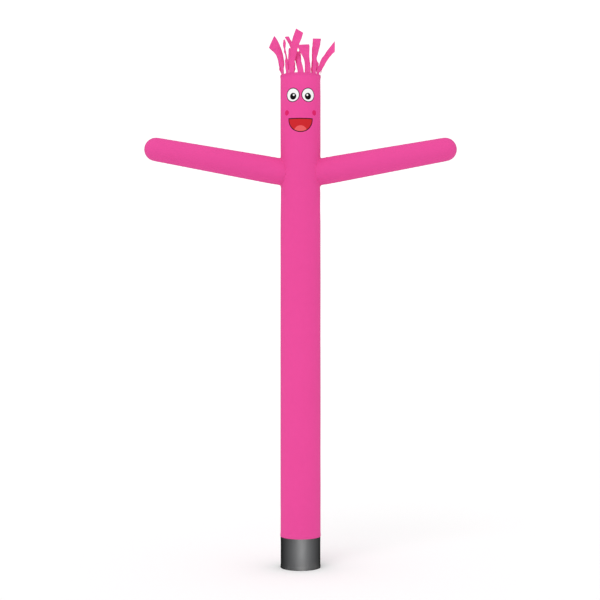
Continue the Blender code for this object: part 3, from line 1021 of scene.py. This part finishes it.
def streamer(number, row):
    """One strip, from the lower edge of the band inside the rim to its slanted end."""
    rim, x, y, rise, bend, root, tip, flare, turn, cut = row
    length = math.hypot(math.hypot(x, y), rise)
    across = np.linspace(-0.5, 0.5, STRIP_COLUMNS)
    low = -BAND_LOW / rise
    along = np.concatenate((np.linspace(low, 0, 5)[:-1], np.linspace(0, 1, STRIP_ROWS)))
    strip, column, level = flat_cloth(
        f"streamer_{number}", across * (root + tip) / 2, (along - low) * length
    )
    side, share = across[column] * 2, along[level]
    draw = np.random.default_rng(40 + number)

    def middle(share):
        lean = np.clip(share, 0, None) ** bend
        base = on_tube(BAND_RADIUS, math.radians(rim), RIM_HEIGHT + BAND_HIGH)
        return base + np.stack((x * lean, y * lean, rise * share), axis=1)

    ahead = middle(np.minimum(share + 0.01, 1)) - middle(share - 0.01)
    ahead /= np.linalg.norm(ahead, axis=1)[:, None]
    azimuth = math.radians(rim) + math.radians(turn) * smooth(0, TURNED_BY, share)
    sideways = np.stack((np.cos(azimuth), np.sin(azimuth), 0 * azimuth), axis=1)
    sideways -= ahead * np.sum(sideways * ahead, axis=1)[:, None]
    sideways /= np.linalg.norm(sideways, axis=1)[:, None]
    outwards = np.cross(sideways, ahead)
    width = root + (tip - root) * smooth(flare, 1, share)
    slant = math.tan(math.radians(cut)) * smooth(0.7, 1, share)
    points = middle(share) + (sideways + ahead * slant[:, None]) * (side * width / 2)[:, None]
    # the strip is cupped a little, ripples in the air, and lies flat on the round band at its root
    free = smooth(0.02, 0.3, share)
    cup = draw.uniform(0.010, 0.016) * draw.choice((-1, 1)) * free * (side**2 - 0.4)
    beat = draw.uniform(1.4, 2.4)
    swing = 0.006 * free * np.sin(math.tau * (beat * share + draw.uniform()) + side * 0.7)
    edge = 0.0035 * free * side * np.sin(math.tau * (2.3 * beat * share + draw.uniform()))
    crinkle = 0.0012 * free * np.sin(math.tau * (7.3 * share + 0.35 * side + draw.uniform()))
    bowed = BAND_RADIUS * (1 - np.cos(side * width / 2 / BAND_RADIUS)) * (1 - free)
    points += outwards * (cup + swing + edge + crinkle - bowed)[:, None]
    strip.data.vertices.foreach_set("co", points.ravel())
    return strip


strips = [streamer(number, row) for number, row in enumerate(STREAMERS)]
band_across = np.linspace(0, math.tau * BAND_RADIUS, BAND_COLUMNS)
band, column, row = flat_cloth("streamer_band_strip", band_across, BAND_ROWS)
angle = band_across[column] / BAND_RADIUS
height = RIM_HEIGHT - BAND_LOW + BAND_ROWS[row]
blow_up(band, on_tube(BAND_RADIUS - BAND_SUNK, angle, height))
bpy.ops.object.select_all(action="DESELECT")
for piece in (*strips, band):
    piece.select_set(True)
bpy.context.view_layer.objects.active = band
bpy.ops.object.join()
head_streamers = bpy.context.object
head_streamers.name = head_streamers.data.name = "head_streamers"
bpy.ops.object.shade_smooth()
thicken = head_streamers.modifiers.new("cloth", "SOLIDIFY")
thicken.thickness = STREAMER_CLOTH
thicken.offset = 0
bpy.ops.object.modifier_apply(modifier="cloth")
head_streamers.data.materials.clear()
# Painted light: the streamers are the same nylon painted paler, standing in for the light that
# their own shade and translucency take from them.
head_streamers.data.materials.append(nylon_cloth("pink_nylon_streamers", 0.18, painted_light_share=0.55))
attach(head_streamers, "root")
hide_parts("streamer_band")


# ---- Stitches of the arms ----------------------------------------------------------------------
# Two rows round each shoulder, one on the body and one on the arm, and a row on each side of the
# seam that goes along the arm and round the hand.

SHOULDER_STITCHES = 0.0062  # off the shoulder's seam
ARM_STITCHES = (-0.0048, 0.0048)  # rows beside the long seam


def onto(cloth, places):
    """The nearest places on a cloth, and its normals there."""
    spots, normals = [], []
    for place in places:
        _, spot, normal, _ = cloth.closest_point_on_mesh(place.tolist())
        spots.append(np.array(spot))
        normals.append(np.array(normal))
    return np.array(spots), np.array(normals)


def arm_rows(side):
    """Paths of an arm's stitches."""
    start, out, up = arm_axes(side)
    sleeve = arm_sleeves[side]
    path, _ = seam_path(side)
    around = np.linspace(0, math.tau, len(path), endpoint=False)
    edge = shoulder_edge(side, around)
    rows = [(*onto(sleeve, arm_point(side, edge + SHOULDER_STITCHES, around)), True)]
    centre = path.mean(axis=0)
    spread = path - centre
    spread /= np.linalg.norm(spread, axis=1)[:, None]
    rows.append((*onto(body_sleeve, path + spread * SHOULDER_STITCHES), True))
    top, bottom = edge[0], edge[len(edge) // 2]
    upper = np.arange(top + 0.012, STRAIGHT, 0.006)
    lower = np.arange(bottom + 0.012, STRAIGHT, 0.006)[::-1]
    turns = np.linspace(0, math.pi, 120)
    for aside in ARM_STITCHES:
        line = [arm_point(side, upper, np.zeros_like(upper))]
        line.append(
            start
            + out * (STRAIGHT + WRIST_RADIUS * np.sin(turns))[:, None]
            + up * (WRIST_RADIUS * np.cos(turns))[:, None]
        )
        line.append(arm_point(side, lower, np.full_like(lower, math.pi)))
        places = np.concatenate(line) + (0, aside, 0)
        rows.append((*onto(sleeve, places), False))
    return rows


for side in ("left", "right"):
    arm_stitches = stitched(
        "arm_stitches_" + side, arm_rows(side), pink_thread
    )
